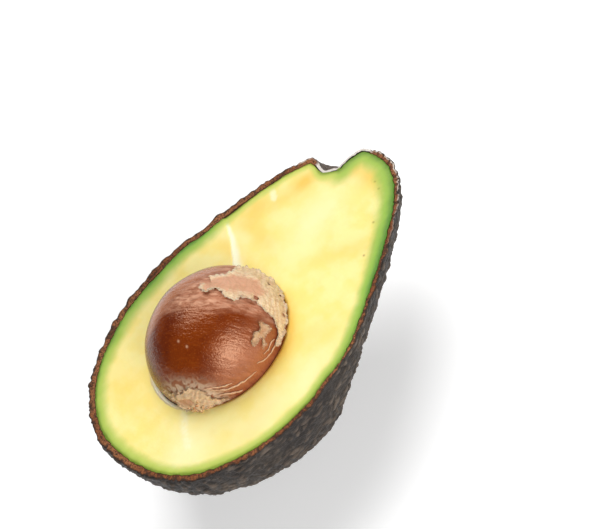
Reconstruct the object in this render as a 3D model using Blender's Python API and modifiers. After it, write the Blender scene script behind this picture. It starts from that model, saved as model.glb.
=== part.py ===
"""Half a Hass-type avocado with its pit, lying on its rounded back with the cut face up.

The body is a sphere shaped by the outline of the cut face. It is split into the peel,
the flesh and the pit, with three papery remains of the seed coat on the pit.
Metres, +Z up. The origin is on the small flat spot that it rests on, within 2 mm of the point
under the middle of the mass.
"""
import bpy
import bmesh
import math
from mathutils import Matrix, Vector

MM = 0.001
GAP = 0.3 * MM                  # kept between neighbouring pieces

# The cut face. +X runs to the stem end, and the pit sits a little behind the middle.
CUT_OUTLINE = [                 # the peel's outer edge, anticlockwise from the stem end
    (60.4, 6.8), (56.9, 15.4), (44.8, 25.6), (34.3, 29.7), (20.7, 32.7), (12.4, 33.9),
    (3.0, 35.4), (-17.7, 33.1), (-35.8, 23.5), (-45.1, 7.5), (-43.4, -11.4), (-34.2, -25.4),
    (-17.3, -33.5), (-1.3, -34.7), (5.9, -33.4), (17.4, -30.8), (37.2, -19.3), (50.6, -9.9),
    (57.9, -1.7),
]
CUT_HEIGHT = 35.7 * MM          # cut face above the surface that the half rests on
BELLY_DEPTH = 1.055             # depth of the back, as a part of the half width
NECK_DEPTH = 0.93               # the neck is a little flatter than the belly
NECK_OFFSET = 0.21              # the knife passed this part of a radius above the neck's middle
NECK_START = 0 * MM
NECK_END = 24 * MM

# The dimple where the stem was.
STEM_ANGLE = math.radians(19.5)
STEM_FLOOR = math.radians(1.6)
STEM_RIM = math.radians(7.5)
STEM_DEPTH = 5.0 * MM

PEEL_THICKNESS = 2.2 * MM

# The pit, a blunt egg with a small point at its base.
PIT_CENTRE = Vector((-4.9 * MM, 1.4 * MM, CUT_HEIGHT + 0.3 * MM))
PIT_LENGTH = 40.1 * MM
PIT_WIDTH = 36.2 * MM
PIT_TURN = Matrix.Rotation(math.radians(5.7), 3, "Z")
PIT_POINT_AXIS = Vector((-0.82, -0.57, 0.05)).normalized()
PIT_POINT_ANGLE = math.radians(22)
PIT_POINT_HEIGHT = 0.7 * MM

COAT_THICKNESS = 0.4 * MM
COAT_LOWEST = CUT_HEIGHT + 0.6 * MM
# Each remain of the seed coat: the middle of its patch on the pit, its reach around that
# middle in degrees, how wavy its edge is and the number of waves.
COAT_PATCHES = {
    "seed_coat_cap": ((0.80, -0.10, 0.60), 34, 0.16, 5),
    "seed_coat_flake": ((0.36, -0.82, 0.42), 12, 0.22, 3),
    "seed_coat_base": ((-0.72, -0.62, 0.30), 17, 0.20, 4),
}

BODY_SEGMENTS = 56
BODY_RINGS = 48
PIT_SEGMENTS = 36
PIT_RINGS = 24
COAT_SEGMENTS = 64
COAT_RINGS = 44
OUTLINE_STEPS = 12              # straight steps between two outline points


def smooth_step(low, high, value):
    """0 below low, 1 above high, and a smooth rise between them."""
    t = min(max((value - low) / (high - low), 0.0), 1.0)
    return t * t * (3 - 2 * t)


def closed_curve(points, steps):
    """A smooth closed curve through the points, as (angle, radius) sorted by angle."""
    polar = []
    for i, (bx, by) in enumerate(points):
        ax, ay = points[i - 1]
        cx, cy = points[(i + 1) % len(points)]
        dx, dy = points[(i + 2) % len(points)]
        for step in range(steps):
            t = step / steps
            wa = (-t + 2 * t ** 2 - t ** 3) / 2
            wb = (2 - 5 * t ** 2 + 3 * t ** 3) / 2
            wc = (t + 4 * t ** 2 - 3 * t ** 3) / 2
            wd = (t ** 3 - t ** 2) / 2
            x = wa * ax + wb * bx + wc * cx + wd * dx
            y = wa * ay + wb * by + wc * cy + wd * dy
            polar.append((math.atan2(y, x), math.hypot(x, y) * MM))
    return sorted(polar)


OUTLINE = closed_curve(CUT_OUTLINE, OUTLINE_STEPS)


def outline_radius(angle):
    """The cut outline's radius at an angle from +X, without the stem dimple."""
    angle = math.atan2(math.sin(angle), math.cos(angle))
    before = (OUTLINE[-1][0] - 2 * math.pi, OUTLINE[-1][1])
    for after in OUTLINE + [(OUTLINE[0][0] + 2 * math.pi, OUTLINE[0][1])]:
        if angle <= after[0]:
            share = (angle - before[0]) / (after[0] - before[0])
            return before[1] + share * (after[1] - before[1])
        before = after


def body_point(direction):
    """The point of the avocado's skin in a direction from the middle of the cut face."""
    from_stem_end = math.acos(min(max(direction.x, -1.0), 1.0))
    side = direction.y / max(math.hypot(direction.y, direction.z), 1e-9)
    left = outline_radius(from_stem_end)
    right = outline_radius(-from_stem_end)
    radius = left * (1 + side) / 2 + right * (1 - side) / 2
    stem = Vector((math.cos(STEM_ANGLE), math.sin(STEM_ANGLE), 0))
    dimple = 1 - smooth_step(STEM_FLOOR, STEM_RIM, direction.angle(stem))
    radius -= STEM_DEPTH * dimple
    across = math.hypot(direction.y, direction.z) * radius
    neck = smooth_step(NECK_START, NECK_END, direction.x * radius)
    depth = BELLY_DEPTH + neck * (NECK_DEPTH - BELLY_DEPTH)
    # Each cross-section is part of a circle whose middle lies below the cut face.
    start = math.asin(NECK_OFFSET * neck)
    slope = math.atan2(-direction.z, abs(direction.y))
    room = math.pi / 2 - math.copysign(start, slope)
    slope = start + slope * room / (math.pi / 2)
    return Vector((direction.x * radius,
                   math.copysign(across * math.cos(slope) / math.cos(start), direction.y),
                   across * (math.sin(start) - math.sin(slope)) / math.cos(start) * depth))


def pit_point(direction):
    """The point of the pit's skin in a direction from its middle."""
    point = PIT_TURN @ Vector((direction.x * PIT_LENGTH, direction.y * PIT_WIDTH,
                               direction.z * PIT_WIDTH)) / 2
    near_point = 1 - smooth_step(0, PIT_POINT_ANGLE, point.angle(PIT_POINT_AXIS))
    return point + point.normalized() * PIT_POINT_HEIGHT * near_point


def shaped_sphere(shape, segments, rings, offset=0.0):
    """A sphere with its poles along X, shaped by a function of direction, then grown
    along its normals by offset."""
    mesh = bmesh.new()
    bmesh.ops.create_uvsphere(mesh, u_segments=segments, v_segments=rings, radius=1)
    bmesh.ops.triangulate(mesh, faces=mesh.faces[:], quad_method="FIXED")
    for vertex in mesh.verts:
        x, y, z = vertex.co.normalized()
        vertex.co = shape(Vector((z, x, y)))
    mesh.normal_update()
    normals = [vertex.normal.copy() for vertex in mesh.verts]
    for vertex, normal in zip(mesh.verts, normals):
        vertex.co += normal * offset
    return mesh


def keep_side(mesh, height, keep_below):
    """Cut a closed mesh by a level plane, keep one side and close it."""
    cut = bmesh.ops.bisect_plane(
        mesh, geom=mesh.verts[:] + mesh.edges[:] + mesh.faces[:], dist=1e-7,
        plane_co=(0, 0, height), plane_no=(0, 0, 1),
        clear_outer=keep_below, clear_inner=not keep_below)
    edges = [item for item in cut["geom_cut"] if isinstance(item, bmesh.types.BMEdge)]
    bmesh.ops.contextual_create(mesh, geom=edges)


def material(name, color, roughness, coat=0.0):
    """A plain Principled finish."""
    finish = bpy.data.materials.new(name)
    finish.use_nodes = True
    shader = finish.node_tree.nodes["Principled BSDF"]
    shader.inputs["Base Color"].default_value = (*color, 1)
    shader.inputs["Roughness"].default_value = roughness
    shader.inputs["Metallic"].default_value = 0.0
    shader.inputs["Coat Weight"].default_value = coat
    return finish


def add_object(name, mesh, group, place=Vector((0, 0, 0)), finish=None):
    """A named object from a bmesh, smooth-shaded except at its sharp cuts."""
    data = bpy.data.meshes.new(name)
    mesh.to_mesh(data)
    mesh.free()
    piece = bpy.data.objects.new(name, data)
    piece.location = place
    group.objects.link(piece)
    if finish:
        data.materials.append(finish)
        data.shade_smooth()
        data.set_sharp_from_angle(angle=math.radians(40))
    else:
        piece.hide_render = True
        piece.display_type = "WIRE"
    return piece


def cut_away(piece, cutter):
    """Take a cutter's shape out of a piece."""
    cut = piece.modifiers.new("cut " + cutter.name, "BOOLEAN")
    cut.operation = "DIFFERENCE"
    cut.solver = "EXACT"
    cut.object = cutter


def build_peel(parts, cutters):
    """The leathery skin: the outside of the half, with the flat spot that it rests on."""
    mesh = shaped_sphere(body_point, BODY_SEGMENTS, BODY_RINGS)
    keep_side(mesh, 0, keep_below=True)
    keep_side(mesh, -CUT_HEIGHT, keep_below=False)
    finish = material("peel", (0.055, 0.040, 0.030), 0.55)
    peel = add_object("peel", mesh, parts, Vector((0, 0, CUT_HEIGHT)), finish)
    inside = shaped_sphere(body_point, BODY_SEGMENTS, BODY_RINGS, -PEEL_THICKNESS)
    cut_away(peel, add_object("peel_inside", inside, cutters, Vector((0, 0, CUT_HEIGHT))))


def build_flesh(parts, cutters):
    """The soft flesh, flat where it was cut, with the hollow that holds the pit."""
    mesh = shaped_sphere(body_point, BODY_SEGMENTS, BODY_RINGS, -PEEL_THICKNESS - GAP)
    keep_side(mesh, 0, keep_below=True)
    finish = material("flesh", (0.93, 0.80, 0.33), 0.38, coat=0.2)
    flesh = add_object("flesh", mesh, parts, Vector((0, 0, CUT_HEIGHT)), finish)
    hollow = shaped_sphere(pit_point, PIT_SEGMENTS, PIT_RINGS, GAP)
    cut_away(flesh, add_object("pit_hollow", hollow, cutters, PIT_CENTRE))


def build_pit(parts):
    """The single large seed."""
    mesh = shaped_sphere(pit_point, PIT_SEGMENTS, PIT_RINGS)
    finish = material("pit", (0.24, 0.07, 0.022), 0.25, coat=0.5)
    add_object("pit", mesh, parts, PIT_CENTRE, finish)


def joined_to(first, faces):
    """The faces of a set that an unbroken run of shared edges joins to the first."""
    found = {first}
    ahead = [first]
    while ahead:
        for edge in ahead.pop().edges:
            for face in edge.link_faces:
                if face in faces and face not in found:
                    found.add(face)
                    ahead.append(face)
    return found


def build_seed_coat(parts):
    """Thin papery remains that cling to the pit: open patches with Solidify."""
    finish = material("seed_coat", (0.66, 0.46, 0.25), 0.7)
    for name, (middle, reach, waviness, waves) in COAT_PATCHES.items():
        middle = Vector(middle).normalized()
        across = middle.orthogonal().normalized()
        mesh = shaped_sphere(pit_point, COAT_SEGMENTS, COAT_RINGS, GAP)
        inside = set()
        for face in mesh.faces:
            way = face.calc_center_median().normalized()
            turn = math.atan2(way.dot(middle.cross(across)), way.dot(across))
            limit = math.radians(reach) * (1 + waviness * math.sin(waves * turn))
            lowest = min(vertex.co.z for vertex in face.verts) + PIT_CENTRE.z
            if way.angle(middle) < limit and lowest > COAT_LOWEST:
                inside.add(face)
        patch_faces = joined_to(min(inside, key=lambda face: (
            face.calc_center_median().normalized() - middle).length), inside)
        outside = [face for face in mesh.faces if face not in patch_faces]
        bmesh.ops.delete(mesh, geom=outside, context="FACES")
        patch = add_object(name, mesh, parts, PIT_CENTRE, finish)
        sheet = patch.modifiers.new("thickness", "SOLIDIFY")
        sheet.thickness = COAT_THICKNESS
        sheet.offset = 1


def main():
    for old in list(bpy.data.objects):
        bpy.data.objects.remove(old, do_unlink=True)
    parts = bpy.data.collections.new("avocado_half")
    cutters = bpy.data.collections.new("cutters")
    bpy.context.scene.collection.children.link(parts)
    bpy.context.scene.collection.children.link(cutters)
    build_peel(parts, cutters)
    build_flesh(parts, cutters)
    build_pit(parts)
    build_seed_coat(parts)


main()
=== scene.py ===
# Half an avocado with its pit, lying cut face up. Lengths are in metres, in the frame's axes:
# +X runs to the stem end, +Z comes out of the cut face, and z = 0 is what the half rests on.
import math

import bmesh
import bpy
import numpy as np
from mathutils import Matrix, Quaternion, Vector, noise
from mathutils.kdtree import KDTree


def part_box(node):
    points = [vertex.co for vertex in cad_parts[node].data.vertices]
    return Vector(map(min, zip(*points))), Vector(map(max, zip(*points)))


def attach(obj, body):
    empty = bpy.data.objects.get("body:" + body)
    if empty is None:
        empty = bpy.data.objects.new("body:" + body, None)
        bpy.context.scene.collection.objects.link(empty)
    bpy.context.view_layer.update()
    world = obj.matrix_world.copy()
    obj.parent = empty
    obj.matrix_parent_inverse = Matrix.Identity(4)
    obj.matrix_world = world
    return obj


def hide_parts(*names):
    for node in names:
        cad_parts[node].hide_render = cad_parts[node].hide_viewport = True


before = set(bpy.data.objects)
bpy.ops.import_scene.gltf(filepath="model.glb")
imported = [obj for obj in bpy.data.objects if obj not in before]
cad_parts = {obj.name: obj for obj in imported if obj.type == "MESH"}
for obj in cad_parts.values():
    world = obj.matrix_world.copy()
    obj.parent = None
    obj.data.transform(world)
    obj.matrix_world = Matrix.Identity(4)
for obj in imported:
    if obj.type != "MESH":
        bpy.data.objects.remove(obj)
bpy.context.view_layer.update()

# ---------------------------------------------------------------------------------------
# Peel. A thin leathery skin, dark and pebbled outside. The knife went through it from end
# to end, so its cut edge shows as a narrow rusty rim of coarse cork cells, and through the
# dimple where the stem was, which has a thin lining with a papery edge.
# ---------------------------------------------------------------------------------------
MM = 0.001
CUT_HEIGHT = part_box("peel")[1].z
CUT_OUTLINE = np.array([        # the peel's outer edge in millimetres, anticlockwise
    (60.4, 6.8), (56.9, 15.4), (44.8, 25.6), (34.3, 29.7), (20.7, 32.7), (12.4, 33.9),
    (3.0, 35.4), (-17.7, 33.1), (-35.8, 23.5), (-45.1, 7.5), (-43.4, -11.4), (-34.2, -25.4),
    (-17.3, -33.5), (-1.3, -34.7), (5.9, -33.4), (17.4, -30.8), (37.2, -19.3), (50.6, -9.9),
    (57.9, -1.7),
]) * MM
OUTLINE_STEPS = 24              # between one outline point and the next
BELLY_DEPTH = 1.055             # a share of half the width
NECK_DEPTH = 0.93
NECK_OFFSET = 0.21
NECK_LENGTH = 24 * MM           # over this, from the origin on, the belly turns into the neck
STEM_ANGLE = math.radians(19.5)
STEM_DEPTH = 6.0 * MM
LIP_HEIGHT = 0.4 * MM
LIP_WIDTH = 0.022               # in radians, seen from the origin
LOWEST_DROP = math.radians(89.4)
PEBBLE_SIZE = 1.9 * MM
PEBBLE_SEED = 1
PEBBLE_HEIGHT = 0.85 * MM
LUMP_HEIGHT = 0.50 * MM
LEVEL_PEBBLE = 0.78             # a pebble this high neither adds nor takes any depth
SCAR_INSIDE = 0.085             # radians from the stem's middle
SCAR_OUTSIDE = 0.15
CRUMB_HEIGHT = 0.24 * MM
PEEL_COLUMNS = 800
SKIN_ROWS = 92
RIM_ROWS = 8
INSIDE_ROWS = 8
PEEL_THICKNESS = 1.9 * MM
THICKER_SIDE = math.radians(120)
SCAR_THICKNESS = 1.1 * MM


def smooth_step(low, high, value):
    """0 below low, 1 above high, and a smooth rise between them."""
    t = np.clip((value - low) / (high - low), 0, 1)
    return t * t * (3 - 2 * t)


def closed_curve(points, steps):
    """A smooth closed curve that passes through the points."""
    t = (np.arange(steps) / steps)[None, :, None]
    a, b, c, d = (np.roll(points, shift, axis=0)[:, None] for shift in (1, 0, -1, -2))
    curve = (a * (-t + 2 * t ** 2 - t ** 3) + b * (2 - 5 * t ** 2 + 3 * t ** 3)
             + c * (t + 4 * t ** 2 - 3 * t ** 3) + d * (t ** 3 - t ** 2)) / 2
    return curve.reshape(-1, points.shape[1])


def noise_at(points, size, seed=0.0):
    """Smooth noise from about -1 to 1 at each point, with features of a size."""
    flat = points.reshape(-1, 3) / size + seed
    values = [noise.noise(Vector(p)) for p in flat]
    return np.array(values).reshape(points.shape[:-1])


outline_curve = closed_curve(CUT_OUTLINE, OUTLINE_STEPS)
outline_turn = np.arctan2(outline_curve[:, 1], outline_curve[:, 0])
outline_reach = np.hypot(outline_curve[:, 0], outline_curve[:, 1])


def outline_radius(turn):
    return np.interp(turn, outline_turn, outline_reach, period=2 * math.pi)


def body_surface(turn, drop):
    """Points on the uncut skin: turn runs round the cut face from +X, drop is down from it.
    The knife passed a little above the neck's middle, so the neck narrows below the cut."""
    x = np.cos(turn) * np.cos(drop)
    y = np.sin(turn) * np.cos(drop)
    z = -np.sin(drop) + 0 * turn
    from_stem_end = np.arccos(np.clip(x, -1, 1))
    side = y / np.maximum(np.hypot(y, z), 1e-9)
    radius = (outline_radius(from_stem_end) * (1 + side)
              + outline_radius(-from_stem_end) * (1 - side)) / 2
    radius = radius + stem_dimple(turn, drop)
    neck = smooth_step(0, NECK_LENGTH, x * radius)
    across = np.hypot(y, z) * radius
    start = np.arcsin(NECK_OFFSET * neck)
    slope = start + np.arctan2(-z, np.abs(y)) * (1 - start / (math.pi / 2))
    depth = BELLY_DEPTH + (NECK_DEPTH - BELLY_DEPTH) * neck
    return np.stack([
        x * radius, np.sign(y) * across * np.cos(slope) / np.cos(start),
        across * (np.sin(start) - np.sin(slope)) / np.cos(start) * depth], axis=-1)


def stem_reach(turn, drop):
    """How far a way points from the stem's middle, in radians, and which side it is on."""
    aside = (turn - STEM_ANGLE + math.pi) % (2 * math.pi) - math.pi
    away = np.hypot(aside, drop)
    return away, (1 + aside / np.maximum(away, 1e-6)) / 2


def stem_dimple(turn, drop):
    """The dimple: a steep wall towards the fruit's tip and a low flared lip opposite."""
    away, far_side = stem_reach(turn, drop)
    floor = np.radians(2.3 - 1.5 * far_side)
    rim = np.radians(6.3 + 1.4 * far_side)
    lip = far_side * np.exp(-((away - rim - 0.02) / LIP_WIDTH) ** 2)
    share = np.clip((away - floor) / (rim - floor), 0, 1)
    rounded = 1 - np.sqrt(1 - (1 - share) ** 2)
    sloped = 1 - smooth_step(0, 1, share)
    wall = rounded + (sloped - rounded) * (0.25 + 0.75 * far_side)
    return LIP_HEIGHT * lip - STEM_DEPTH * wall


def even_turns(count):
    """Angles that divide the cut outline, dimple and all, into equal lengths."""
    turn = np.linspace(0, 2 * math.pi, 9000)
    edge = body_surface(turn, np.zeros_like(turn))
    length = np.insert(np.cumsum(np.linalg.norm(np.diff(edge, axis=0), axis=1)), 0, 0)
    return np.interp(np.arange(count) * length[-1] / count, length, turn)


def outward(rings):
    """Unit normals of a grid of rings that run anticlockwise, from the top one down."""
    along = np.roll(rings, -1, axis=1) - np.roll(rings, 1, axis=1)
    normal = np.cross(np.gradient(rings, axis=0), along)
    return normal / np.maximum(np.linalg.norm(normal, axis=-1, keepdims=True), 1e-12)


def skin_relief(points):
    """Pebble height from 0 to 1: rounded cells drawn out along the fruit, in fine folds."""
    stretched = points * (0.5, 1.0, 1.0) / PEBBLE_SIZE
    heights = []
    for p in stretched.reshape(-1, 3):
        place = Vector(p) + 0.6 * noise.noise_vector(Vector(p) * 0.55)
        near = noise.voronoi(place)[0]
        heights.append(near[1] - near[0])
    cells = smooth_step(0.0, 0.55, np.array(heights).reshape(points.shape[:-1]))
    folds = 1 - np.abs(noise_at(points * (0.4, 1, 1), 1.5 * MM, 7.0)) * 1.8
    return np.clip(0.55 * cells + 0.45 * folds, 0, 1)


def flat_normals(edge):
    """Unit normals, in the cut plane, of a closed anticlockwise edge."""
    along = np.roll(edge, -3, axis=0) - np.roll(edge, 3, axis=0)
    normal = np.stack([along[:, 1], -along[:, 0], np.zeros(len(edge))], axis=-1)
    return normal / np.linalg.norm(normal, axis=1, keepdims=True)


def smooth_piece(name, points, faces, measures):
    """A smooth shaded piece. Each measure is a number for every point, or one for them
    all, kept as an attribute for the material."""
    mesh = bpy.data.meshes.new(name)
    mesh.from_pydata(points, [], faces)
    mesh.shade_smooth()
    for label, values in measures.items():
        values = np.broadcast_to(np.reshape(values, -1), len(points)).astype(np.float32)
        mesh.attributes.new(label, "FLOAT", "POINT").data.foreach_set("value", values)
    piece = bpy.data.objects.new(name, mesh)
    bpy.context.scene.collection.objects.link(piece)
    return piece


def ring_piece(name, rings, measures):
    """A closed piece from rings of points that start and end in a small flat disc."""
    rows, columns = rings.shape[:2]
    here = np.arange(columns)
    beyond = np.roll(here, -1)
    faces = []
    for row in range(rows - 1):
        top, low = row * columns, (row + 1) * columns
        quads = np.stack([top + here, low + here, low + beyond, top + beyond], axis=1)
        faces.extend(quads.tolist())
    faces.append(here.tolist())
    faces.append(((rows - 1) * columns + here)[::-1].tolist())
    return smooth_piece(name, rings.reshape(-1, 3).tolist(), faces, measures)


turns = even_turns(PEEL_COLUMNS)
drops = np.linspace(0, LOWEST_DROP, SKIN_ROWS)
skin = body_surface(turns[None, :], drops[:, None])
skin_normal = outward(skin)
from_stem, _ = stem_reach(turns[None, :], drops[:, None])
scar = 1 - smooth_step(SCAR_INSIDE, SCAR_OUTSIDE, from_stem)
noise.seed_set(PEBBLE_SEED)     # without a seed, noise_vector starts from the clock
relief = skin_relief(skin)
lumps = noise_at(skin, 3.4 * MM, 3.0) + 0.6 * noise_at(skin, 9 * MM, 4.0)
rise = (PEBBLE_HEIGHT * (relief - LEVEL_PEBBLE) + LUMP_HEIGHT * lumps) * (1 - 0.8 * scar)
skin = skin + skin_normal * rise[..., None]

# The rim: from the skin's edge inward over the cut thickness.
skin_edge = skin[0] * (1, 1, 0)
smooth_edge = body_surface(turns, 0 * turns)
edge_normal = flat_normals(smooth_edge)
edge_scar = smooth_step(math.radians(8), math.radians(14), turns)
edge_scar = edge_scar * (1 - smooth_step(math.radians(22.5), math.radians(25.5), turns))
papery = np.exp(-((np.degrees(turns + math.pi) % 360 - 183) / 15) ** 2)
papery = papery + np.exp(-((np.degrees(turns) - 29.5) / 2.0) ** 2)
depth = PEEL_THICKNESS + 0.45 * MM * np.cos(turns - THICKER_SIDE)
depth = depth + (SCAR_THICKNESS - depth) * edge_scar
teeth = 0.26 * noise_at(skin_edge, 0.7 * MM, 11.0) + 0.24 * noise_at(skin_edge, 2.0 * MM, 5.0)
teeth = teeth * MM * (1 - 0.6 * edge_scar)
inner_edge = smooth_edge - edge_normal * (depth + teeth)[:, None]
across = np.linspace(0, 1, RIM_ROWS + 1)[1:]
rim = skin_edge + (inner_edge - skin_edge) * across[:, None, None]
crumbs = noise_at(rim, 1.0 * MM, 2.0) + 0.6 * noise_at(rim, 0.45 * MM, 9.0)
rim[..., 2] = CRUMB_HEIGHT * crumbs - 0.12 * MM - 0.25 * MM * (across[:, None] > 0.99)
skin[0, :, 2] = -0.30 * MM

# Inside, hidden behind the flesh.
inside_drops = np.linspace(LOWEST_DROP, math.radians(5), INSIDE_ROWS)[::-1]
inside = body_surface(turns[None, :], inside_drops[:, None])
inside = inside - outward(inside) * PEEL_THICKNESS

peel_rings = np.concatenate([skin[::-1], rim, inside])
peel_rings[..., 2] = np.maximum(peel_rings[..., 2] + CUT_HEIGHT, 0)
rows = len(peel_rings)
on_cut = np.zeros((rows, PEEL_COLUMNS))
on_cut[SKIN_ROWS:] = 1
rim_place = np.zeros((rows, PEEL_COLUMNS))
rim_place[SKIN_ROWS:SKIN_ROWS + RIM_ROWS] = across[:, None]
rim_place[SKIN_ROWS + RIM_ROWS:] = 1
scar_place = np.tile(edge_scar, (rows, 1))
scar_place[:SKIN_ROWS] = scar[::-1]
height = np.zeros((rows, PEEL_COLUMNS))
height[:SKIN_ROWS] = relief[::-1]
height[SKIN_ROWS:SKIN_ROWS + RIM_ROWS] = 0.5 + 0.4 * crumbs
peel = ring_piece("avocado_peel", peel_rings, {
    "papery": np.tile(papery, (rows, 1)),
    "on_cut": on_cut,
    "rim_place": rim_place,
    "scar": scar_place,
    "relief": height})


class Socket:
    """A node's output that takes part in arithmetic."""

    def __init__(self, finish, output):
        self.finish = finish
        self.output = output

    def math(self, operation, *values):
        inputs = dict(enumerate(values))
        return self.finish.node("ShaderNodeMath", {"operation": operation}, inputs)

    def __add__(self, other):
        return self.math("ADD", self, other)

    def __sub__(self, other):
        return self.math("SUBTRACT", self, other)

    def __rsub__(self, other):
        return self.math("SUBTRACT", other, self)

    def __mul__(self, other):
        return self.math("MULTIPLY", self, other)

    __radd__ = __add__
    __rmul__ = __mul__

    def __pow__(self, other):
        return self.math("POWER", self, other)

    def step(self, low, high):
        """0 at low, 1 at high, smooth between."""
        return self.finish.node("ShaderNodeMapRange", {"interpolation_type": "SMOOTHSTEP"},
                                {"Value": self, "From Min": low, "From Max": high})


class Finish:
    """A Principled material that is built up node by node."""

    def __init__(self, name, constants):
        self.material = bpy.data.materials.new(name)
        self.material.use_nodes = True
        self.tree = self.material.node_tree
        self.shader = self.tree.nodes["Principled BSDF"]
        for label, value in constants.items():
            self.shader.inputs[label].default_value = value
        self.place = self.node("ShaderNodeTexCoord", output="Object")

    def node(self, kind, settings=None, inputs=None, output=0):
        """Add a node: its settings come first, then its sockets' values or links."""
        node = self.tree.nodes.new(kind)
        for label, value in (settings or {}).items():
            setattr(node, label, value)
        for label, value in (inputs or {}).items():
            self.feed(node.inputs[label], value)
        return Socket(self, node.outputs[output])

    def feed(self, socket, value):
        if isinstance(value, Socket):
            self.tree.links.new(value.output, socket)
        elif isinstance(value, tuple) and socket.type == "RGBA":
            socket.default_value = (*value, 1)
        else:
            socket.default_value = value

    def mix(self, share, a, b):
        """A colour that goes from a to b as share goes from 0 to 1."""
        return self.node("ShaderNodeMix", {"data_type": "RGBA"}, {0: share, 6: a, 7: b}, 2)

    def measure(self, label):
        return self.node("ShaderNodeAttribute", {"attribute_name": label}, output="Fac")

    def grain(self, size, detail=3, place=None):
        """Noise with features of a size, centred on 0.5."""
        return self.node("ShaderNodeTexNoise", {}, {
            "Vector": place or self.place, "Scale": 1 / size, "Detail": detail})

    def stretched(self, *factors):
        """The place on the object, scaled along each axis to draw features out."""
        return self.node("ShaderNodeVectorMath", {"operation": "MULTIPLY"},
                         {0: self.place, 1: factors})

    def drawn(self, along, across, *stretch):
        """The place in turned axes, divided by a stretch along each of them."""
        out = Vector(along).cross(Vector(across))
        turn = Matrix((along, across, out)).transposed().to_euler()
        return self.node("ShaderNodeMapping", {"vector_type": "TEXTURE"},
                         {"Vector": self.place, "Rotation": turn, "Scale": stretch})

    def bump(self, *layers):
        """A normal from layers of (height in metres, value)."""
        normal = None
        for height, value in layers:
            inputs = {"Height": value, "Distance": height, "Strength": 1.0}
            if normal:
                inputs["Normal"] = normal
            normal = self.node("ShaderNodeBump", {}, inputs)
        return normal

    def finish(self, piece, sockets):
        for label, value in sockets.items():
            self.feed(self.shader.inputs[label], value)
        piece.data.materials.append(self.material)


skin_finish = Finish("avocado_skin", {"Specular IOR Level": 0.3})
relief_m = skin_finish.measure("relief")
cut_m = skin_finish.measure("on_cut").step(0.3, 0.7)
scar_m = skin_finish.measure("scar").step(0.2, 0.8)
rim_m = skin_finish.measure("rim_place")
along = skin_finish.stretched(0.35, 1.0, 1.0)
streaks = skin_finish.grain(0.55 * MM, 4, along)
lines = (skin_finish.grain(1.6 * MM, 4, along) - 0.5).math("ABSOLUTE")
lines_m = 1 - lines.step(0.008, 0.045)
creases = (skin_finish.grain(1.0 * MM, 5, along) - 0.5).math("ABSOLUTE").step(0.0, 0.09)
patches = skin_finish.grain(14 * MM, 2)
# Painted shade: the skin is painted darker in the pebbles' hollows and along the creases between them.
hollow_shade = skin_finish.mix(patches.step(0.35, 0.65), (0.012, 0.008, 0.006), (0.022, 0.015, 0.010))
tops = skin_finish.mix(patches.step(0.35, 0.65), (0.084, 0.060, 0.043), (0.108, 0.080, 0.057))
skin_color = skin_finish.mix(relief_m.step(0.35, 0.95) * (0.35 + 0.65 * creases), hollow_shade, tops)
skin_color = skin_finish.mix(streaks.step(0.54, 0.72) * 0.30, skin_color, (0.135, 0.108, 0.082))
skin_color = skin_finish.mix(lines_m * 0.20, skin_color, (0.165, 0.128, 0.092))

cells = skin_finish.grain(0.40 * MM, 3)
clumps = skin_finish.grain(1.1 * MM, 2)
bright = skin_finish.mix(patches.step(0.40, 0.60), (0.270, 0.086, 0.026), (0.380, 0.145, 0.054))
rust = skin_finish.mix(cells.step(0.34, 0.56), (0.075, 0.026, 0.010), bright)
rust = skin_finish.mix((1 - clumps.step(0.39, 0.51)) * 0.72, rust, (0.050, 0.021, 0.010))
outer_m = 1 - (rim_m + 0.7 * clumps).step(0.45, 0.80)
rust = skin_finish.mix(outer_m * 0.85, rust, (0.042, 0.022, 0.014))
rust = skin_finish.mix((rim_m + 0.4 * cells).step(1.08, 1.22) * 0.8, rust, (0.016, 0.007, 0.003))
papery_m = skin_finish.measure("papery") * (1 - rim_m.step(0.22, 0.42)) * clumps.step(0.40, 0.50)
rust = skin_finish.mix(papery_m, rust, (0.66, 0.56, 0.47))
lining = skin_finish.mix(rim_m.step(0.66, 0.80), (0.84, 0.77, 0.70), (0.018, 0.010, 0.006))
scar_skin = skin_finish.mix(cells.step(0.35, 0.65), (0.035, 0.022, 0.015), (0.14, 0.095, 0.065))
outside_color = skin_finish.mix(scar_m, skin_color, scar_skin)
cut_color = skin_finish.mix(scar_m, rust, lining)
skin_finish.finish(peel, {
    "Base Color": skin_finish.mix(cut_m, outside_color, cut_color),
    "Roughness": 0.40 + 0.18 * streaks + 0.28 * cut_m,
    "Normal": skin_finish.bump(
        (0.55 * MM, creases * (1 - cut_m)),
        (0.40 * MM, streaks),
        (0.36 * MM, cells * (0.45 + 0.55 * cut_m)))})
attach(peel, "root")
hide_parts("peel")

# ---------------------------------------------------------------------------------------
# Flesh. One soft, oily body: green beside the peel, then creamy yellow. The knife left its
# face almost flat, with a low ledge where the blade turned, and a hollow holds the pit.
# ---------------------------------------------------------------------------------------
pit_low, pit_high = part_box("pit")
PIT_MIDDLE = np.array((pit_low + pit_high) / 2)
PIT_LENGTH = 40.1 * MM
PIT_WIDTH = 36.2 * MM
FACE_ROWS = 96
HOLLOW_ROWS = 7
BOWL_ROWS = 8
LEDGE = np.array([
    (19.6, 32.0), (19.1, 29.8), (18.0, 27.4), (16.5, 24.3), (14.6, 20.9), (12.4, 17.6),
    (11.0, 15.5)]) * MM
LEDGE_DROP = 0.45 * MM
PEEL_GAP = 0.04 * MM
HOLLOW_GAP = 0.10 * MM
TORN_GAP = 0.03 * MM            # added where the pit tore a little flesh away
NICK = np.array([(34.6, 28.2), (33.4, 25.6), (32.2, 23.2)]) * MM
VEIN = np.array([
    (53.3, 1.6), (51.6, -2.0), (48.5, -6.4), (45.0, -9.0), (40.7, -11.7), (33.0, -17.5)]) * MM
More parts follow.
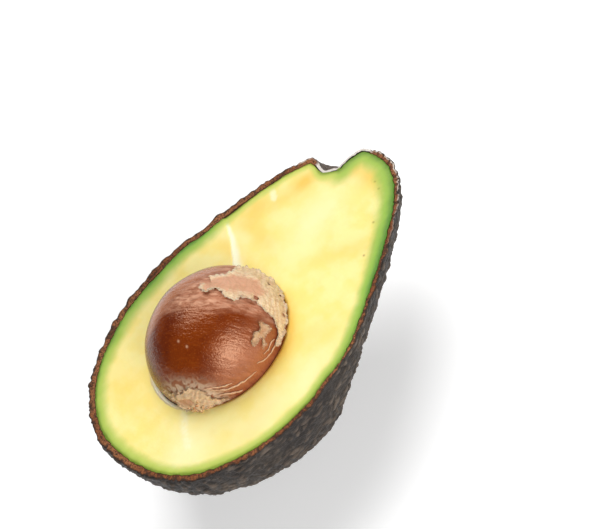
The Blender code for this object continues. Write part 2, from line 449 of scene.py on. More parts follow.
SPECKS = np.array([(53.0, 2.8), (44.6, -6.6), (46.2, -9.8), (52.2, 0.2), (36.5, -12.2)]) * MM
SPECK_SIZE = 0.28 * MM
SCUFF = np.array([(-22.5, -6.5), (-24.6, -8.6), (-27.1, -11.4), (-29.4, -16.4)]) * MM
# Each patch of colour: its strength, its middle, its length and width in millimetres, and
# how far it is turned.
GOLD_PATCHES = [
    (0.4, 37, -9, 14, 3, -0.62), (0.4, 32, 21.5, 13, 3.2, -0.25), (0.5, 27, 26, 6, 3.5),
    (0.5, 22, 17, 3, 8), (0.8, 41, 19.5, 4, 3), (0.8, 51, 12.5, 5, 2.5, -0.3),
    (0.9, 53, 5, 3, 7, 0.2), (0.35, -31, 10, 5, 12), (0.5, -15, -27, 9, 2.5, 0.1),
    (0.35, 13, -19, 7, 4, -0.7), (0.4, 14, 21, 2.5, 6)]
PALE_PATCHES = [
    (1, 36, 8, 12, 6, 0.2), (1, -31, -18, 10, 8, 0.5), (0.7, -10, -27, 14, 4),
    (0.5, 17, 24, 2, 7, 0.5), (0.6, 7, -27, 8, 4, 0.2)]
PIT_TURN = math.radians(5.7)
GREEN = np.array([              # the turn in degrees, then how deep and how wide the green is
    (0, 0.85, 1.4), (14, 0.75, 1.3), (18, 0.35, 0.8), (25, 0.22, 0.6), (50, 0.22, 0.7),
    (58, 0.45, 0.9), (65, 0.90, 1.0), (90, 0.95, 1.1), (140, 0.75, 1.1), (165, 0.6, 1.0),
    (185, 0.5, 0.9), (205, 0.45, 0.8), (235, 0.4, 0.75), (255, 0.5, 0.7), (280, 0.6, 0.7),
    (305, 0.8, 0.8), (330, 1.0, 0.9), (350, 0.95, 1.2),
])


def pit_radius(turn):
    """The pit's reach in the cut plane, from its middle."""
    turn = turn - PIT_TURN
    return 1 / np.hypot(np.cos(turn) * 2 / PIT_LENGTH, np.sin(turn) * 2 / PIT_WIDTH)


def line_distance(points, line):
    """Distance from an open line, and the side of it: above 0 on its left."""
    best = np.full(points.shape[:-1], 1e9)
    side = np.zeros(points.shape[:-1])
    for a, b in zip(line[:-1], line[1:]):
        way = b - a
        share = np.clip(((points - a) @ way) / (way @ way), 0, 1)
        off = points - (a + share[..., None] * way)
        far = np.hypot(off[..., 0], off[..., 1])
        closer = far < best
        turned = way[0] * (points[..., 1] - a[1]) - way[1] * (points[..., 0] - a[0])
        side = np.where(closer, np.sign(turned), side)
        best = np.minimum(best, far)
    return best, side


def evened(ring, passes):
    """A closed ring of points with its small steps smoothed out."""
    for _ in range(passes):
        ring = (np.roll(ring, 2, axis=0) + ring + np.roll(ring, -2, axis=0)) / 3
    return ring


face_edge = inner_edge - edge_normal * PEEL_GAP
core_edge = evened(smooth_edge - edge_normal * depth[:, None], 60)
from_pit = core_edge[:, :2] - PIT_MIDDLE[:2]
pit_turns = np.unwrap(np.arctan2(from_pit[:, 1], from_pit[:, 0]))
torn_side = np.exp(-((pit_turns % (2 * math.pi) - math.radians(180)) / 0.42) ** 2)
slack = HOLLOW_GAP + TORN_GAP * torn_side
hole_reach = pit_radius(pit_turns) + slack
hole = PIT_MIDDLE * (1, 1, 0) + np.stack([
    np.cos(pit_turns) * hole_reach, np.sin(pit_turns) * hole_reach, 0 * pit_turns], axis=-1)
inward = np.linspace(0, 1, FACE_ROWS)[:, None, None] ** 1.2
face = core_edge + (hole - core_edge) * inward
core_distance = np.linalg.norm(face - core_edge, axis=-1, keepdims=True)
face = face + (face_edge - core_edge) * np.exp(-core_distance / (0.9 * MM))

edge_tree = KDTree(PEEL_COLUMNS)
for i, point in enumerate(smooth_edge - edge_normal * depth[:, None]):
    edge_tree.insert(point, i)
edge_tree.balance()
flat_face = face.reshape(-1, 3)
rim_distance = np.array([edge_tree.find(p)[2] for p in flat_face]).reshape(face.shape[:2])
hole_distance = np.linalg.norm(face - hole, axis=-1)
ledge_distance, ledge_side = line_distance(face[..., :2], LEDGE)
from_ledge = ledge_distance * ledge_side + 0.25 * MM * noise_at(face, 2.2 * MM, 23.0)
past_ledge = smooth_step(-0.3 * MM, 0.3 * MM, from_ledge)
ledge_fade = 1 - smooth_step(1.5 * MM, 14 * MM, ledge_distance)
nick_distance, _ = line_distance(face[..., :2], NICK)
face[..., 2] = (
    0.16 * MM * noise_at(face, 13 * MM, 21.0) + 0.05 * MM * noise_at(face, 3.5 * MM, 22.0)
    - LEDGE_DROP * past_ledge * ledge_fade
    - 0.25 * MM * (1 - smooth_step(0, 0.7 * MM, rim_distance))
    - 0.30 * MM * (1 - smooth_step(0, 0.8 * MM, hole_distance)))

hollow_drops = np.linspace(0.05, math.radians(88), HOLLOW_ROWS)[:, None]
hollow_reach = hole_reach * np.cos(hollow_drops)
hollow = np.stack([
    PIT_MIDDLE[0] + np.cos(pit_turns) * hollow_reach,
    PIT_MIDDLE[1] + np.sin(pit_turns) * hollow_reach,
    -np.sin(hollow_drops) * (PIT_WIDTH / 2 + slack)], axis=-1)
bowl_drops = np.linspace(math.radians(89), math.radians(3), BOWL_ROWS)[::-1]
bowl = body_surface(turns[None, :], bowl_drops[:, None])
bowl = bowl - outward(bowl) * (PEEL_THICKNESS + 0.3 * MM)
flesh_rings = np.concatenate([bowl[::-1], face, hollow])
flesh_rings[..., 2] += CUT_HEIGHT


def spread(values, fill):
    """A measure known on the cut face, with one value for the hidden rows."""
    whole = np.full(flesh_rings.shape[:2], float(fill))
    whole[BOWL_ROWS:BOWL_ROWS + FACE_ROWS] = values
    return whole


def blob(x, y, length, width, turn=0.0):
    """A soft oval patch on the cut face, 1 in its middle."""
    dx = face[..., 0] - x * MM
    dy = face[..., 1] - y * MM
    along = dx * math.cos(turn) + dy * math.sin(turn)
    over = dy * math.cos(turn) - dx * math.sin(turn)
    return np.exp(-(along / (length * MM)) ** 2 - (over / (width * MM)) ** 2)


round_middle = np.arctan2(face[..., 1], face[..., 0])
green_turns = np.radians(GREEN[:, 0])
greenness = np.interp(round_middle, green_turns, GREEN[:, 1], period=2 * math.pi)
green_width = np.interp(round_middle, green_turns, GREEN[:, 2], period=2 * math.pi)
around_pit = ((pit_turns + math.radians(45)) + math.pi) % (2 * math.pi) - math.pi
stem_side = np.exp(-(around_pit / 0.75) ** 2)
beside_hole = np.exp(-(hole_distance / (2.6 * MM)) ** 2)
beside_hole = beside_hole + 0.35 * np.exp(-(hole_distance / (6 * MM)) ** 2)
gold = stem_side * beside_hole
for strength, *patch in GOLD_PATCHES:
    gold = gold + strength * blob(*patch)
gold = np.clip(gold, 0, 1)
pale = np.clip(sum(strength * blob(*patch) for strength, *patch in PALE_PATCHES), 0, 1)
rows_apart = noise_at(face, 0.9 * MM, 25.0)
ledge_width = 0.8 * MM + 0.16 * np.maximum(29 * MM - face[..., 1], 0)
streak = smooth_step(-0.25 * MM, 0.05 * MM, from_ledge)
streak = streak * (1 - smooth_step(0.35, 1.1, from_ledge / ledge_width))
streak = streak * (ledge_distance < 5 * MM) * smooth_step(12 * MM, 14 * MM, face[..., 1])
nick_width = 0.9 * MM + 0.3 * MM * rows_apart
streak = streak + 0.6 * (1 - smooth_step(0.4 * nick_width, 1.4 * nick_width, nick_distance))
scuff_distance, _ = line_distance(face[..., :2], SCUFF)
scuff = np.exp(-(scuff_distance / (1.1 * MM)) ** 2) * np.clip(0.6 + 0.5 * rows_apart, 0, 1)
streak = np.clip(streak + 0.8 * scuff, 0, 1)
vein_distance, _ = line_distance(face[..., :2], VEIN)
vein = np.exp(-(vein_distance / (0.45 * MM)) ** 2)
vein = vein * np.clip(0.5 + 0.8 * noise_at(face, 3 * MM, 26.0), 0, 1)
speck = np.zeros(face.shape[:2])
for spot in SPECKS:
    speck_distance = np.linalg.norm(face[..., :2] - spot, axis=-1)
    speck = np.maximum(speck, np.exp(-(speck_distance / SPECK_SIZE) ** 2))
flesh = ring_piece("avocado_flesh", flesh_rings, {
    "rim_distance": spread(rim_distance / MM / green_width, 0),
    "greenness": spread(greenness, 1),
    "gold": spread(gold, 0),
    "pale": spread(pale, 0),
    "streak": spread(streak, 0),
    "vein": spread(np.clip(0.35 * vein + speck, 0, 1), 0),
    "pit_distance": spread(hole_distance / MM, 0),
    "torn": spread(np.tile(torn_side, (FACE_ROWS, 1)), 0)})

flesh_finish = Finish("avocado_flesh", {
    "Subsurface Weight": 0.20, "Subsurface Scale": 0.0015, "Subsurface Radius": (1.0, 0.65, 0.25),
    "Specular IOR Level": 0.12, "Coat Roughness": 0.15})
clouds = flesh_finish.grain(7 * MM, 3)
fine = flesh_finish.grain(1.1 * MM, 3)
smears = flesh_finish.grain(2.2 * MM, 2, flesh_finish.stretched(0.35, 0.7, 1.0))
reach = flesh_finish.measure("rim_distance") + (clouds - 0.5) * 1.6 + (smears - 0.5) * 1.2
deep_m = flesh_finish.measure("greenness")
cream = flesh_finish.mix(clouds.step(0.35, 0.65), (0.94, 0.77, 0.23), (0.96, 0.83, 0.33))
cream = flesh_finish.mix(flesh_finish.measure("gold") * (0.55 + 0.6 * smears), cream, (0.90, 0.56, 0.09))
cream = flesh_finish.mix(flesh_finish.measure("pale") * 0.75, cream, (0.96, 0.88, 0.46))
cream = flesh_finish.mix(flesh_finish.measure("streak") * 0.9, cream, (0.97, 0.95, 0.68))
cream = flesh_finish.mix(smears.step(0.58, 0.75) * 0.12, cream, (0.88, 0.66, 0.18))
cream = flesh_finish.mix(flesh_finish.measure("vein"), cream, (0.34, 0.17, 0.03))
edge_green = flesh_finish.mix(deep_m, (0.30, 0.36, 0.045), (0.085, 0.23, 0.030))
leaf_green = flesh_finish.mix(deep_m, (0.66, 0.66, 0.14), (0.27, 0.48, 0.060))
ring = flesh_finish.mix(reach.step(-0.1, 1.7), edge_green, leaf_green)
flesh_color = flesh_finish.mix(reach.step(1.3, 4.9), ring, cream)
# Next to the pit the flesh is painted a darker gold: partly its own golden tone, partly painted shade
# where the flesh meets the pit.
pit_edge_gold_and_shade = 1 - flesh_finish.measure("pit_distance").step(0.0, 0.8)
flesh_color = flesh_finish.mix(pit_edge_gold_and_shade * 0.6, flesh_color, (0.70, 0.42, 0.08))
torn_m = flesh_finish.measure("torn")
torn_reach = flesh_finish.measure("pit_distance") + (fine - 0.5) * 0.6
flesh_color = flesh_finish.mix(torn_m * (1 - torn_reach.step(1.0, 1.3)), flesh_color, (0.62, 0.50, 0.30))
flesh_color = flesh_finish.mix(torn_m * (1 - torn_reach.step(0.7, 0.9)), flesh_color, (0.93, 0.88, 0.66))
flesh_finish.finish(flesh, {
    "Base Color": flesh_color,
    "Roughness": 0.42 + 0.16 * clouds,
    "Coat Weight": 0.10 * fine,
    "Normal": flesh_finish.bump((0.10 * MM, clouds), (0.05 * MM, fine))})
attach(flesh, "root")
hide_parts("flesh")

# ---------------------------------------------------------------------------------------
# Pit. One large seed, a blunt egg with a small point at its base. Its skin is thin, hard
# and glossy, with a wrinkled pinkish film on the side where the seed coat pulled away.
# ---------------------------------------------------------------------------------------
PIT_ROWS = 190
PIT_COLUMNS = 380
WRINKLE_DEPTH = 0.22 * MM
PIT_AXES = np.array(Matrix.Rotation(PIT_TURN, 3, "Z"))
PIT_SIZES = np.array((PIT_LENGTH, PIT_WIDTH, PIT_WIDTH))
POINT_AXIS = Vector((-0.82, -0.57, 0.05)).normalized()
POINT_ANGLE = math.radians(22)
POINT_HEIGHT = 0.7 * MM
FLECKS = np.array([(-0.03, 0.14, 0.99), (-0.42, -0.25, 0.87), (-0.39, -0.39, 0.83), (-0.01, 0.27, 0.96)])
SIDE_MIDDLE = (0.05, -0.98, 0.18)   # the way to the middle of the pit's near side
# The film ends in a flat cut across the pit, this share of the pit's half size behind its
# middle, and its wrinkles run alongside that edge.
FILM_SIDE = Vector((0.721, 0.692, 0.045)).normalized()
FILM_EDGE = -0.07
WRINKLE_WAY = Vector((0.593, -0.582, -0.557))
WRINKLE_WAY = (WRINKLE_WAY - FILM_SIDE * WRINKLE_WAY.dot(FILM_SIDE)).normalized()
GRAIN_AXES = np.array([WRINKLE_WAY, FILM_SIDE, WRINKLE_WAY.cross(FILM_SIDE)])


def pit_surface(way, lift=0.0):
    """Points on the pit in the directions given, lifted off its skin."""
    way = way / np.linalg.norm(way, axis=-1, keepdims=True)
    reach = 1 / np.linalg.norm(way @ PIT_AXES * 2 / PIT_SIZES, axis=-1)
    near_point = 1 - smooth_step(0, POINT_ANGLE, np.arccos(np.clip(way @ np.array(POINT_AXIS), -1, 1)))
    swell = 0.20 * MM * noise_at(way, 0.55, 31.0) + POINT_HEIGHT * near_point
    return PIT_MIDDLE + way * (reach + swell + lift)[..., None]


polar = np.linspace(math.radians(1), math.radians(179), PIT_ROWS)[:, None]
around = np.linspace(0, 2 * math.pi, PIT_COLUMNS, endpoint=False)[None, :]
ways = np.stack([np.sin(polar) * np.cos(around), np.sin(polar) * np.sin(around),
                 np.cos(polar) + 0 * around], axis=-1)
ways = ways @ np.array(POINT_AXIS.to_track_quat("-Z", "Y").to_matrix()).T
grained = ways @ GRAIN_AXES.T
ragged = noise_at(grained * (1, 4, 2), 0.35, 42.0)
film = smooth_step(FILM_EDGE - 0.03, FILM_EDGE + 0.20, grained[..., 1] + 0.07 * ragged)
far_side = smooth_step(0.22, 0.42, ways[..., 1] + 0.05 * ragged)
far_side = far_side * (1 - smooth_step(0.55, 0.85, ways[..., 0]))
film = film * (1 - far_side)
bare_band = far_side * (1 - smooth_step(0.38, 0.85, ways[..., 1] + 0.12 * ragged))
from_point = np.arccos(np.clip(ways @ np.array(POINT_AXIS), -1, 1))
rays = noise_at(np.stack([np.cos(around) + 0 * polar, np.sin(around) + 0 * polar, 2.2 * from_point],
                         axis=-1), 0.13, 43.0)
base = 1 - smooth_step(0.20, 0.75, from_point + 0.14 * rays)
wrinkles = np.abs(noise_at(grained * (0.22, 1, 0.4), 0.045, 41.0))
near_side = smooth_step(0.66, 1.0, ways @ np.array(SIDE_MIDDLE))
wrinkles = wrinkles * (0.12 + 0.88 * np.clip(film + 0.7 * base + 0.5 * near_side, 0, 1))
fleck = np.zeros(wrinkles.shape)
for way in FLECKS:
    fleck = np.maximum(fleck, np.exp(-((1 - ways @ way / np.linalg.norm(way)) / 0.00012)))
pit = ring_piece("avocado_pit", pit_surface(ways, -WRINKLE_DEPTH * wrinkles), {
    "film": film,
    "base": base,
    "rays": 0.5 + 0.5 * rays,
    "bare_band": bare_band,
    "fleck": fleck,
    "near_side": near_side,
    "wrinkles": np.clip(wrinkles * 2.5, 0, 1)})

pit_finish = Finish("avocado_pit", {
    "Specular IOR Level": 0.90, "Specular Tint": (1.0, 0.62, 0.40, 1)})
mottle = pit_finish.grain(9 * MM, 3)
along_grain = pit_finish.drawn(GRAIN_AXES[0], GRAIN_AXES[1], 5.0, 1.0, 2.5)
fibres = pit_finish.grain(0.8 * MM, 4, along_grain)
pores = pit_finish.grain(0.45 * MM, 2)
crinkles = pit_finish.grain(1.1 * MM, 4, pit_finish.drawn(GRAIN_AXES[0], GRAIN_AXES[1], 2.2, 1.0, 1.4))
film_m = pit_finish.measure("film")
base_m = pit_finish.measure("base")
ray_m = pit_finish.measure("rays")
wrinkle_shade_m = pit_finish.measure("wrinkles")
chestnut = pit_finish.mix(mottle.step(0.38, 0.62), (0.125, 0.013, 0.0005), (0.190, 0.028, 0.001))
chestnut = pit_finish.mix(fibres.step(0.52, 0.75) * 0.35, chestnut, (0.32, 0.070, 0.006))
chestnut = pit_finish.mix(pit_finish.measure("bare_band") * 0.8, chestnut, (0.46, 0.15, 0.045))
chestnut = pit_finish.mix(pores.step(0.58, 0.70) * 0.35, chestnut, (0.34, 0.080, 0.006))
film_color = pit_finish.mix(fibres.step(0.35, 0.65), (0.48, 0.19, 0.105), (0.68, 0.36, 0.23))
film_color = pit_finish.mix(crinkles.step(0.50, 0.60) * 0.70, film_color, (0.28, 0.075, 0.025))
# Painted shade: the film is painted darker in the grooves of its wrinkles.
film_color = pit_finish.mix(wrinkle_shade_m * 0.55, film_color, (0.22, 0.055, 0.018))
# The near side, where the front light falls, is painted lighter and fibrous: partly the pit's own drier
# coat, partly painted light.
near_side_coat_and_light = pit_finish.measure("near_side")
chestnut = pit_finish.mix(near_side_coat_and_light * (0.25 + 0.7 * fibres), chestnut, (0.44, 0.150, 0.070))
pit_color = pit_finish.mix(film_m * (0.55 + 0.7 * mottle), chestnut, film_color)
base_color = pit_finish.mix(ray_m.step(0.35, 0.60), (0.34, 0.15, 0.075), (0.74, 0.56, 0.38))
pit_color = pit_finish.mix(base_m.step(0.05, 0.95) * (0.35 + 0.9 * ray_m), pit_color, base_color)
pit_color = pit_finish.mix(pit_finish.measure("fleck") * 0.8, pit_color, (0.75, 0.45, 0.28))
dryness = film_m + base_m - film_m * base_m
pit_finish.finish(pit, {
    "Base Color": pit_color,
    "Roughness": 0.16 + 0.30 * dryness + 0.10 * pores,
    "Normal": pit_finish.bump((0.18 * MM, fibres), (0.10 * MM, pores), (0.34 * MM, crinkles * dryness))})
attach(pit, "root")
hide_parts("pit")

# ---------------------------------------------------------------------------------------
# Seed coat. A papery skin that tore when the half was opened, so only scraps still cling
# to the pit: a large cap, a flake beside it and a ragged patch round the point.
# ---------------------------------------------------------------------------------------
SCRAP_PITCH = 0.22 * MM
SCRAP_THICKNESS = 0.16 * MM
CURL_HEIGHT = 0.42              # in millimetres, as is all of a scrap's lift
HOLE_LEVEL = 0.52               # of the noise that tears the holes
# The outlines lie in millimetres on the pit's skin: level from a scrap's middle, then up.
# Then the line that its thin pinkish part follows, that part's half width, and how rough
# its edge is.
SCRAPS = {
    "seed_coat_cap": ((0.75, -0.20, 0.63), [
        (4.2, 10.8), (1.8, 11.2), (0.2, 10.5), (0.7, 8.4), (-0.6, 7.2), (-2.5, 6.7), (-4.7, 4.8),
        (-3.8, 2.4), (-5.0, 0.0), (-7.1, -2.5), (-8.6, -5.0), (-11.7, -7.2), (-15.4, -6.6),
        (-15.3, -8.0), (-11.2, -10.1), (-6.7, -11.7), (-0.7, -11.7), (3.6, -12.2), (7.1, -8.7),
        (8.8, -5.5), (7.4, -0.5), (5.2, 3.0), (5.6, 6.8)],
        [(2.8, 8.4), (2.2, 5.6), (1.6, 3.1), (0.6, 0.4), (-0.4, -1.6)], 3.2, 0.45),
    "seed_coat_flake": ((0.40, -0.79, 0.46), [
        (2.7, 1.2), (3.8, 0.1), (3.6, -1.9), (3.1, -3.1), (1.7, -2.9), (0.6, -2.7), (-0.8, -3.7),
        (-2.5, -3.5), (-1.7, -2.4), (-0.4, -1.7), (-2.0, -1.3), (-3.2, -1.1), (-2.9, 0.6),
        (-1.7, 1.0), (0.0, 1.3), (0.9, 0.4), (1.9, 0.4)],
        [(1.0, -0.9), (2.2, -1.5)], 0.5, 0.35),
    "seed_coat_base": ((-0.72, -0.62, 0.30), [
        (-5.0, 0.6), (-3.2, 1.3), (-1.9, 2.2), (0.7, 2.0), (2.9, 0.8), (3.4, -1.1), (5.8, -3.0),
        (7.6, -4.6), (4.9, -4.9), (2.0, -4.9), (-0.3, -5.0), (-3.4, -4.9), (-5.2, -3.8),
        (-7.4, -1.6), (-8.6, 0.8)],
        [(-4.5, -2.6), (-2.2, -2.2)], 1.2, 0.75),
}


# How far each scrap's edge thins out to nothing, and how brown the scrap is.
FEATHERED = {"seed_coat_cap": 0.45, "seed_coat_flake": 0.85, "seed_coat_base": 0.90}
BROWNNESS = {"seed_coat_cap": 0.12, "seed_coat_flake": 0.75, "seed_coat_base": 0.45}


def scrap_edge_distance(points, outline):
    """Distance inside a closed outline; below 0 outside it."""
    line = np.vstack([outline, outline[:1]])
    far, _ = line_distance(points, line)
    crossings = np.zeros(points.shape[:-1])
    for (ax, ay), (bx, by) in zip(line[:-1], line[1:]):
        spans = (ay > points[..., 1]) != (by > points[..., 1])
        x = ax + (points[..., 1] - ay) * (bx - ax) / (by - ay + 1e-15)
        crossings += spans & (points[..., 0] < x)
    return np.where(crossings % 2 == 1, far, -far)


def on_pit(middle, u, v):
    """Directions on the pit for places level from, and up from, a middle direction."""
    middle = np.array(middle) / np.linalg.norm(middle)
    level = np.cross((0, 0, 1), middle)
    level = level / np.linalg.norm(level)
    up = np.cross(middle, level)
    angle = np.hypot(u, v) / (PIT_WIDTH / 2)
    ahead = np.arctan2(v, u)
    return (np.cos(angle)[..., None] * middle + np.sin(angle)[..., None] * (
        np.cos(ahead)[..., None] * level + np.sin(ahead)[..., None] * up))


scrap_finish = Finish("avocado_seed_coat", {
    "Subsurface Weight": 0.10, "Subsurface Scale": 0.0006, "Specular IOR Level": 0.3})
pulp = scrap_finish.grain(1.6 * MM, 3)
along_scrap = scrap_finish.drawn(GRAIN_AXES[0], GRAIN_AXES[1], 2.5, 1.0, 1.5)
threads = scrap_finish.grain(0.45 * MM, 4, along_scrap)
edge_distance_m = scrap_finish.measure("edge_distance")
edge_m = 1 - edge_distance_m.step(0.1, 1.1)
fold_shade_m = scrap_finish.measure("fold")
papery_tan = scrap_finish.mix(threads.step(0.35, 0.65), (0.66, 0.43, 0.25), (0.86, 0.67, 0.43))
papery_tan = scrap_finish.mix(pulp.step(0.45, 0.62) * 0.6, papery_tan, (0.82, 0.66, 0.44))
papery_tan = scrap_finish.mix(scrap_finish.measure("thin") * 0.85, papery_tan, (0.66, 0.32, 0.20))
papery_tan = scrap_finish.mix(edge_m * 0.65, papery_tan, (0.86, 0.72, 0.54))
blots = scrap_finish.grain(2.6 * MM, 4, along_scrap)
papery_tan = scrap_finish.mix(blots.step(0.54, 0.68) * 0.35, papery_tan, (0.50, 0.26, 0.14))
brown_m = scrap_finish.measure("brownness") * (0.45 + 1.1 * pulp)
papery_tan = scrap_finish.mix(brown_m, papery_tan, (0.46, 0.24, 0.11))
# Painted shade: the scrap is painted darker brown along the low creases of its folds.
papery_tan = scrap_finish.mix(fold_shade_m * pulp * 0.55, papery_tan, (0.42, 0.20, 0.10))
feather_m = 1 - (edge_distance_m + 1.6 * (threads - 0.5)).step(0.1, 0.9)
scrap_sockets = {
    "Base Color": papery_tan,
    "Roughness": 0.50 + 0.2 * pulp,
    "Alpha": 1 - scrap_finish.measure("feather") * feather_m,
    "Normal": scrap_finish.bump((0.22 * MM, pulp), (0.20 * MM, threads))}

for name, (middle, outline, thin_line, thin_width, roughness) in SCRAPS.items():
    outline = closed_curve(np.array(outline) * MM, 8)
    low, high = outline.min(0) - MM, outline.max(0) + MM
    columns = int((high[0] - low[0]) / SCRAP_PITCH)
    lines = int((high[1] - low[1]) / SCRAP_PITCH)
    u, v = np.meshgrid(np.linspace(low[0], high[0], columns), np.linspace(low[1], high[1], lines))
    spot = np.stack([u, v, 0 * u], axis=-1)
    inside_by = scrap_edge_distance(spot[..., :2], outline)
    frayed = noise_at(spot, 1.1 * MM, 51.0) + 0.6 * noise_at(spot, 0.45 * MM, 52.0)
    inside_by = inside_by + roughness * MM * frayed
    way = on_pit(middle, u, v)
    curl = CURL_HEIGHT * np.exp(-np.maximum(inside_by - 0.35 * MM, 0) / (0.40 * MM))
    curl = curl * (1 + 0.9 * noise_at(spot, 1.6 * MM, 53.0))
    fold = np.abs(noise_at(way @ GRAIN_AXES.T * (1, 0.40, 0.7), 0.080, 54.0))
    holes = noise_at(way @ GRAIN_AXES.T * (0.5, 1, 1), 0.11, 55.0)
    thin_distance, _ = line_distance(spot[..., :2], np.array(thin_line) * MM)
    thin = 1 - smooth_step(0.6, 1.15, thin_distance / (thin_width * MM) + 0.25 * frayed)
    thin = thin * smooth_step(0.5 * MM, 1.5 * MM, inside_by)
    inside_by = np.where(holes > HOLE_LEVEL, -MM, inside_by)
    lift = 0.03 + SCRAP_THICKNESS / MM + curl + 0.75 * fold * (1 - 0.65 * thin) - 0.05 * thin
    sheet = pit_surface(way, lift * MM)
    keep = (inside_by > 0) & (sheet[..., 2] > CUT_HEIGHT - 0.3 * MM)
    number = np.arange(columns * lines).reshape(lines, columns)
    quads = []
    for row in range(lines - 1):
        for column in range(columns - 1):
            if keep[row:row + 2, column:column + 2].all():
                quads.append((number[row, column], number[row, column + 1],
                              number[row + 1, column + 1], number[row + 1, column]))
    used = np.unique(quads)
    order = {int(old): new for new, old in enumerate(used)}
    points = sheet.reshape(-1, 3)[used].tolist()
    faces = [[order[int(i)] for i in quad] for quad in quads]
    scrap = smooth_piece(name + "_scrap", points, faces, {
        "edge_distance": (inside_by / MM).reshape(-1)[used],
        "thin": thin.reshape(-1)[used],
        "fold": 1 - smooth_step(0.01, 0.10, fold.reshape(-1)[used]),
        "feather": FEATHERED[name],
        "brownness": BROWNNESS[name]})
    thickness_modifier = scrap.modifiers.new("thickness", "SOLIDIFY")
    thickness_modifier.thickness = SCRAP_THICKNESS
    thickness_modifier.offset = -1
    scrap_finish.finish(scrap, scrap_sockets)
    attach(scrap, "root")
    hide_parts(name)

# Threads of the coat that lie along the pit's near side: a path, in millimetres round
# SIDE_MIDDLE, and half a width.
THREADS = [
    ([(-11.8, 3.1), (-9.9, 1.6), (-7.1, 0.1), (-5.1, -0.4), (-2.9, -0.8), (0.0, -1.1)], 0.26),
    ([(-12.0, 0.7), (-9.2, -0.6), (-7.1, -2.1), (-5.8, -3.0)], 0.34),
    ([(1.6, 0.3), (3.9, -0.7), (6.2, -1.3), (8.6, -0.9), (10.6, -0.5)], 0.24),
    ([(4.5, 0.9), (6.2, 0.2), (8.0, 0.5), (9.4, 0.3)], 0.20),
    ([(-13.0, 4.2), (-10.6, 3.3), (-8.2, 1.9), (-6.4, 1.4)], 0.20),
    ([(8.8, -2.6), (11.2, -1.6), (13.2, 0.4), (14.0, 2.0)], 0.36),
]
THREAD_SIDES = 8
THREAD_STEPS = 70
THREAD_WAVE = 0.30 * MM
thread_points = []
thread_faces = []
for path, half_width in THREADS:
    path = np.array(path) * MM
    share = np.linspace(0, len(path) - 1, THREAD_STEPS)
    u = np.interp(share, np.arange(len(path)), path[:, 0])
    v = np.interp(share, np.arange(len(path)), path[:, 1])
    wave = np.stack([u, v, 0 * u], axis=-1)
    u = u + THREAD_WAVE * noise_at(wave, 1.3 * MM, 61.0)
    v = v + THREAD_WAVE * noise_at(wave, 1.3 * MM, 62.0)
    way = on_pit(SIDE_MIDDLE, u, v)
    middle_line = pit_surface(way, 0.10 * MM * (1 + noise_at(wave, 2 * MM, 63.0)))
    ahead = np.gradient(middle_line, axis=0)
    beside = np.cross(ahead, way)
    beside = beside / np.linalg.norm(beside, axis=1, keepdims=True)
    taper = np.sin(np.linspace(0.12, math.pi - 0.12, THREAD_STEPS)) ** 0.5
    half = half_width * MM * taper * (1 + 0.6 * noise_at(wave, 0.8 * MM, 64.0))
    first = len(thread_points)
    for corner in range(THREAD_SIDES):
        turn = 2 * math.pi * corner / THREAD_SIDES
        thread_points.extend((middle_line + half[:, None] * (
            math.cos(turn) * beside + 0.55 * math.sin(turn) * way)).tolist())
    corners = [first + THREAD_STEPS * corner for corner in range(THREAD_SIDES)]
    for here, beyond in zip(corners, corners[1:] + corners[:1]):
        for i in range(THREAD_STEPS - 1):
            thread_faces.append((here + i, here + i + 1, beyond + i + 1, beyond + i))
    thread_faces.append(corners[::-1])
    thread_faces.append([corner + THREAD_STEPS - 1 for corner in corners])
coat_threads = smooth_piece("seed_coat_threads", thread_points, thread_faces, {
    "edge_distance": 1.4, "thin": 0.55, "fold": 0.0, "feather": 0.0, "brownness": 0.3})
scrap_finish.finish(coat_threads, scrap_sockets)
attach(coat_threads, "root")

# Crumbs of the coat round the point, where the pit was joined to the fruit: the middle
# and half the size of each, in millimetres.
CRUMBS = [
    (-1.6, -4.4, 0.75), (-0.7, -3.4, 0.55), (0.4, -4.2, 0.65), (-2.4, -5.0, 0.60), (-0.6, -5.3, 0.80),
    (0.9, -5.4, 0.50), (-1.7, -6.0, 0.55), (-3.3, -4.2, 0.45), (1.7, -4.6, 0.45), (-0.2, -2.4, 0.40),
]
crumb_finish = Finish("avocado_crumbs", {"Subsurface Weight": 0.15, "Subsurface Scale": 0.0006})
specks = crumb_finish.grain(0.5 * MM, 3)
crumb_color = crumb_finish.mix(specks.step(0.38, 0.62), (0.42, 0.16, 0.045), (0.84, 0.58, 0.30))
crumb_points = []
crumb_faces = []
for u, v, size in CRUMBS:
    seed = bmesh.new()
    bmesh.ops.create_icosphere(seed, subdivisions=3, radius=1.0)
    shape = np.array([vertex.co for vertex in seed.verts])
    faces = [[vertex.index for vertex in face.verts] for face in seed.faces]
    seed.free()
    way = on_pit(SCRAPS["seed_coat_base"][0], np.array(u * MM), np.array(v * MM))
    centre = pit_surface(way[None, :], 0.15 * MM)[0]
    lumpy = 1 + 0.45 * noise_at(shape + (u, v, 0), 0.9, 71.0) + 0.2 * noise_at(shape, 0.4, 72.0)
    first = len(crumb_points)
    crumb_points.extend((centre + shape * lumpy[:, None] * size * MM).tolist())
    crumb_faces.extend([[first + i for i in face] for face in faces])
crumbs_piece = smooth_piece("seed_coat_crumbs", crumb_points, crumb_faces, {})
crumb_finish.finish(crumbs_piece, {
    "Base Color": crumb_color,
    "Roughness": 0.45 + 0.2 * specks,
    "Normal": crumb_finish.bump((0.15 * MM, specks))})
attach(crumbs_piece, "root")

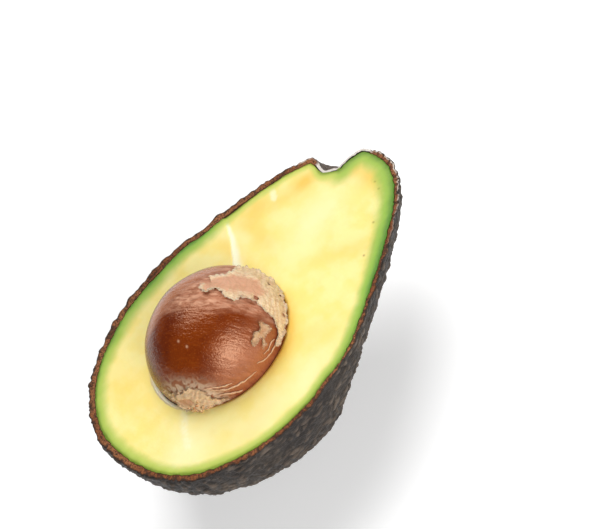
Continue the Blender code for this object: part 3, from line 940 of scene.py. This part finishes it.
# ---------------------------------------------------------------------------------------
# Table, light and camera. A plain white table that glows a little, one large soft light
# above and behind the fruit, a second in front of it, and a long lens that looks down on
# the cut face.
# ---------------------------------------------------------------------------------------
TABLE_SIZE = 6.0
TABLE_DROP = 0.05 * MM          # below what the half rests on, so that the two never share a plane
TABLE_GLOW = 0.28
bpy.ops.mesh.primitive_plane_add(size=TABLE_SIZE, location=(0, 0, -TABLE_DROP))
table = bpy.context.object
table.name = "table"
table_finish = Finish("white_table", {
    "Emission Color": (1, 1, 1, 1), "Emission Strength": TABLE_GLOW})
table_finish.finish(table, {"Base Color": (0.90, 0.90, 0.90), "Roughness": 0.6})

world = bpy.data.worlds.new("studio")
bpy.context.scene.world = world
world.use_nodes = True
background = world.node_tree.nodes["Background"]
background.inputs["Color"].default_value = (1.0, 1.0, 1.0, 1)
background.inputs["Strength"].default_value = 0.10


def soft_light(name, way, distance, size, power):
    """A square soft light that shines on the fruit from a direction."""
    lamp = bpy.data.lights.new(name, "AREA")
    lamp.shape = "SQUARE"
    lamp.size = size
    lamp.energy = power
    holder = bpy.data.objects.new(name, lamp)
    bpy.context.scene.collection.objects.link(holder)
    way = Vector(way).normalized()
    holder.location = way * distance + Vector((0, 0, CUT_HEIGHT))
    holder.rotation_euler = way.to_track_quat("Z", "Y").to_euler()


soft_light("overhead_light", way=(0.30, 0.50, 0.80), distance=1.30, size=1.10, power=18.0)
soft_light("front_light", way=(0.03, -0.92, 0.40), distance=0.60, size=0.40, power=3.3)

camera = bpy.data.objects.new("camera", bpy.data.cameras.new("camera"))
bpy.context.scene.collection.objects.link(camera)
CAMERA_PLACE = Vector((-17.6 * MM, -383.7 * MM, 460.9 * MM + CUT_HEIGHT))
CAMERA_ROLL = math.radians(-39.6)
camera.data.lens = 136.7
camera.data.sensor_width = 36
camera.data.clip_start = 0.01
AIM = Vector((24.8 * MM, -0.9 * MM, CUT_HEIGHT))
camera.location = CAMERA_PLACE
level_view = (camera.location - AIM).to_track_quat("Z", "Y")
camera.rotation_mode = "QUATERNION"
camera.rotation_quaternion = level_view @ Quaternion((0, 0, 1), CAMERA_ROLL)
bpy.context.scene.camera = camera
bpy.context.scene.view_settings.view_transform = "Standard"
